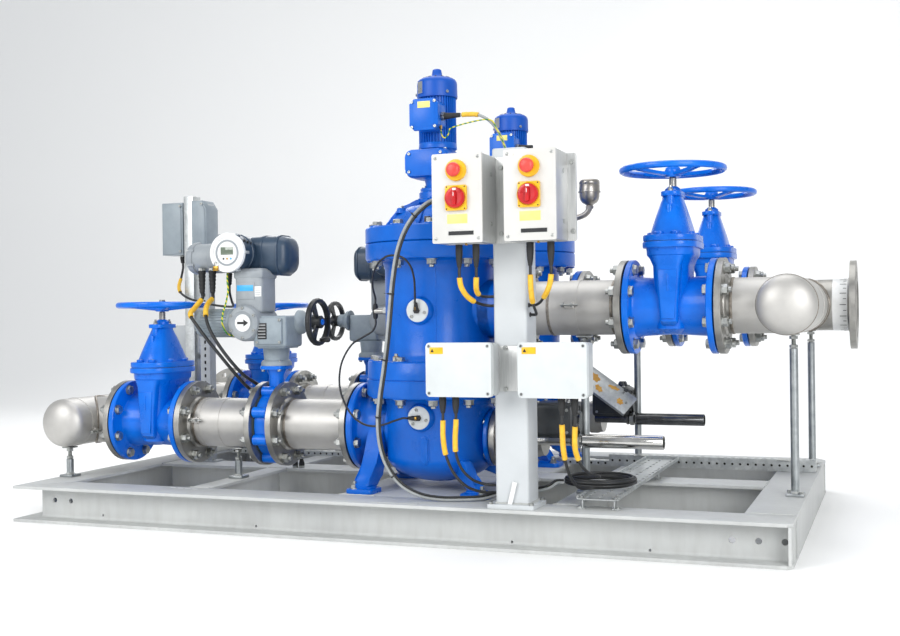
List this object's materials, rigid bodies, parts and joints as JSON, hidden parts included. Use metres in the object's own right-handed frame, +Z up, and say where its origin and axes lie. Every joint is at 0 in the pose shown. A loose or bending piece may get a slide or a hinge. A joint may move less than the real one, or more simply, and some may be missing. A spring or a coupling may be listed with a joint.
{
  "type": "twin-stream strainer package",
  "caption": "Frame-mounted package with parallel motor-driven strainer vessels between inlet and outlet headers, with gate valves, actuated lug valves and local control boxes.",
  "frame": {"origin": "centre of the footprint at the underside of the frame", "axes": "+X along the frame from the inlet header to the outlet header, +Y from the control side to the back, +Z up"},
  "size_m": [2.7704, 1.5856, 1.47],
  "materials": {
    "actuator_paint": "satin grey",
    "wheel_black": "black",
    "zinc_steel": "galvanized",
    "column_steel": "satin grey paint",
    "box_plastic": "moulded, matt",
    "frame_steel": "satin grey paint",
    "stainless": "pickled stainless",
    "motor_paint": "satin blue",
    "valve_paint": "gloss blue epoxy",
    "dial_red": "red",
    "cable_black": "matt",
    "stop_red": "red",
    "vessel_paint": "gloss blue epoxy on cast iron"
  },
  "bodies": {
    "package": {"actuator_front": "actuator_paint", "actuator_rear": "actuator_paint", "cable_way": "zinc_steel", "column": "column_steel", "control_box_left": "box_plastic", "control_box_right": "box_plastic", "cross_post_front": "frame_steel", "cross_post_rear": "frame_steel", "cross_spool_front": "frame_steel", "cross_spool_rear": "frame_steel", "drain_front": "stainless", "drain_rear": "stainless", "end_left": "frame_steel", "end_right": "frame_steel", "gearmotor_front": "motor_paint", "gearmotor_rear": "motor_paint", "inlet_gate_valve_front": "valve_paint", "inlet_gate_valve_rear": "valve_paint", "inlet_header": "stainless", "inlet_spool_a_front": "stainless", "inlet_spool_a_rear": "stainless", "inlet_spool_b_front": "stainless", "inlet_spool_b_rear": "stainless", "lead_actuator_a": "cable_black", "lead_actuator_b": "cable_black", "lead_box_left": "cable_black", "lead_box_right": "cable_black", "lead_bundle": "cable_black", "lead_coil": "cable_black", "lead_junction_left": "cable_black", "lead_motor": "cable_black", "lead_sensor_low": "cable_black", "lead_sensor_top": "cable_black", "lead_stand": "cable_black", "lug_valve_front": "valve_paint", "lug_valve_rear": "valve_paint", "outlet_gate_valve_front": "valve_paint", "outlet_gate_valve_rear": "valve_paint", "outlet_header": "stainless", "outlet_spool_front": "stainless", "outlet_spool_rear": "stainless", "rail_front": "frame_steel", "rail_mid": "frame_steel", "rail_rear": "frame_steel", "vessel_bearer_front": "frame_steel", "vessel_bearer_rear": "frame_steel", "vessel_cover_front": "vessel_paint", "vessel_cover_rear": "vessel_paint", "vessel_front": "vessel_paint", "vessel_rear": "vessel_paint"},
    "inlet_wheel_front": {"inlet_wheel_front": "valve_paint"},
    "outlet_wheel_front": {"outlet_wheel_front": "valve_paint"},
    "actuator_wheel_front": {"actuator_wheel_front": "wheel_black"},
    "inlet_wheel_rear": {"inlet_wheel_rear": "valve_paint"},
    "outlet_wheel_rear": {"outlet_wheel_rear": "valve_paint"},
    "actuator_wheel_rear": {"actuator_wheel_rear": "wheel_black"},
    "isolator_dial_left": {"isolator_dial_left": "dial_red"},
    "stop_button_left": {"stop_button_left": "stop_red"},
    "isolator_dial_right": {"isolator_dial_right": "dial_red"},
    "stop_button_right": {"stop_button_right": "stop_red"}
  },
  "joints": [
    {"name": "inlet_valve_front_turn", "type": "hinge", "parent": "package", "child": "inlet_wheel_front", "pos_m": [-0.94055, -0.2742, 0.723], "axis": [0, 0, 1], "continuous": true},
    {"name": "outlet_valve_front_turn", "type": "hinge", "parent": "package", "child": "outlet_wheel_front", "pos_m": [0.87875, -0.2742, 1.103], "axis": [0, 0, 1], "continuous": true},
    {"name": "actuator_front_crank", "type": "hinge", "parent": "package", "child": "actuator_wheel_front", "pos_m": [-0.32135, -0.2742, 0.657], "axis": [1, 0, 0], "continuous": true},
    {"name": "inlet_valve_rear_turn", "type": "hinge", "parent": "package", "child": "inlet_wheel_rear", "pos_m": [-0.94055, 0.4998, 0.723], "axis": [0, 0, 1], "continuous": true},
    {"name": "outlet_valve_rear_turn", "type": "hinge", "parent": "package", "child": "outlet_wheel_rear", "pos_m": [0.87875, 0.4998, 1.103], "axis": [0, 0, 1], "continuous": true},
    {"name": "actuator_rear_crank", "type": "hinge", "parent": "package", "child": "actuator_wheel_rear", "pos_m": [-0.64135, 0.4998, 0.657], "axis": [1, 0, 0], "continuous": true},
    {"name": "isolator_left_turn", "type": "hinge", "parent": "package", "child": "isolator_dial_left", "pos_m": [0.36425, -0.7675, 1], "axis": [0, -1, 0], "range_deg": [-90, 0]},
    {"name": "stop_left_press", "type": "slide", "parent": "package", "child": "stop_button_left", "axis": [0, 1, 0], "range_m": [0, 0.004]},
    {"name": "isolator_right_turn", "type": "hinge", "parent": "package", "child": "isolator_dial_right", "pos_m": [0.57575, -0.7675, 1], "axis": [0, -1, 0], "range_deg": [-90, 0]},
    {"name": "stop_right_press", "type": "slide", "parent": "package", "child": "stop_button_right", "axis": [0, 1, 0], "range_m": [0, 0.004]}
  ]
}
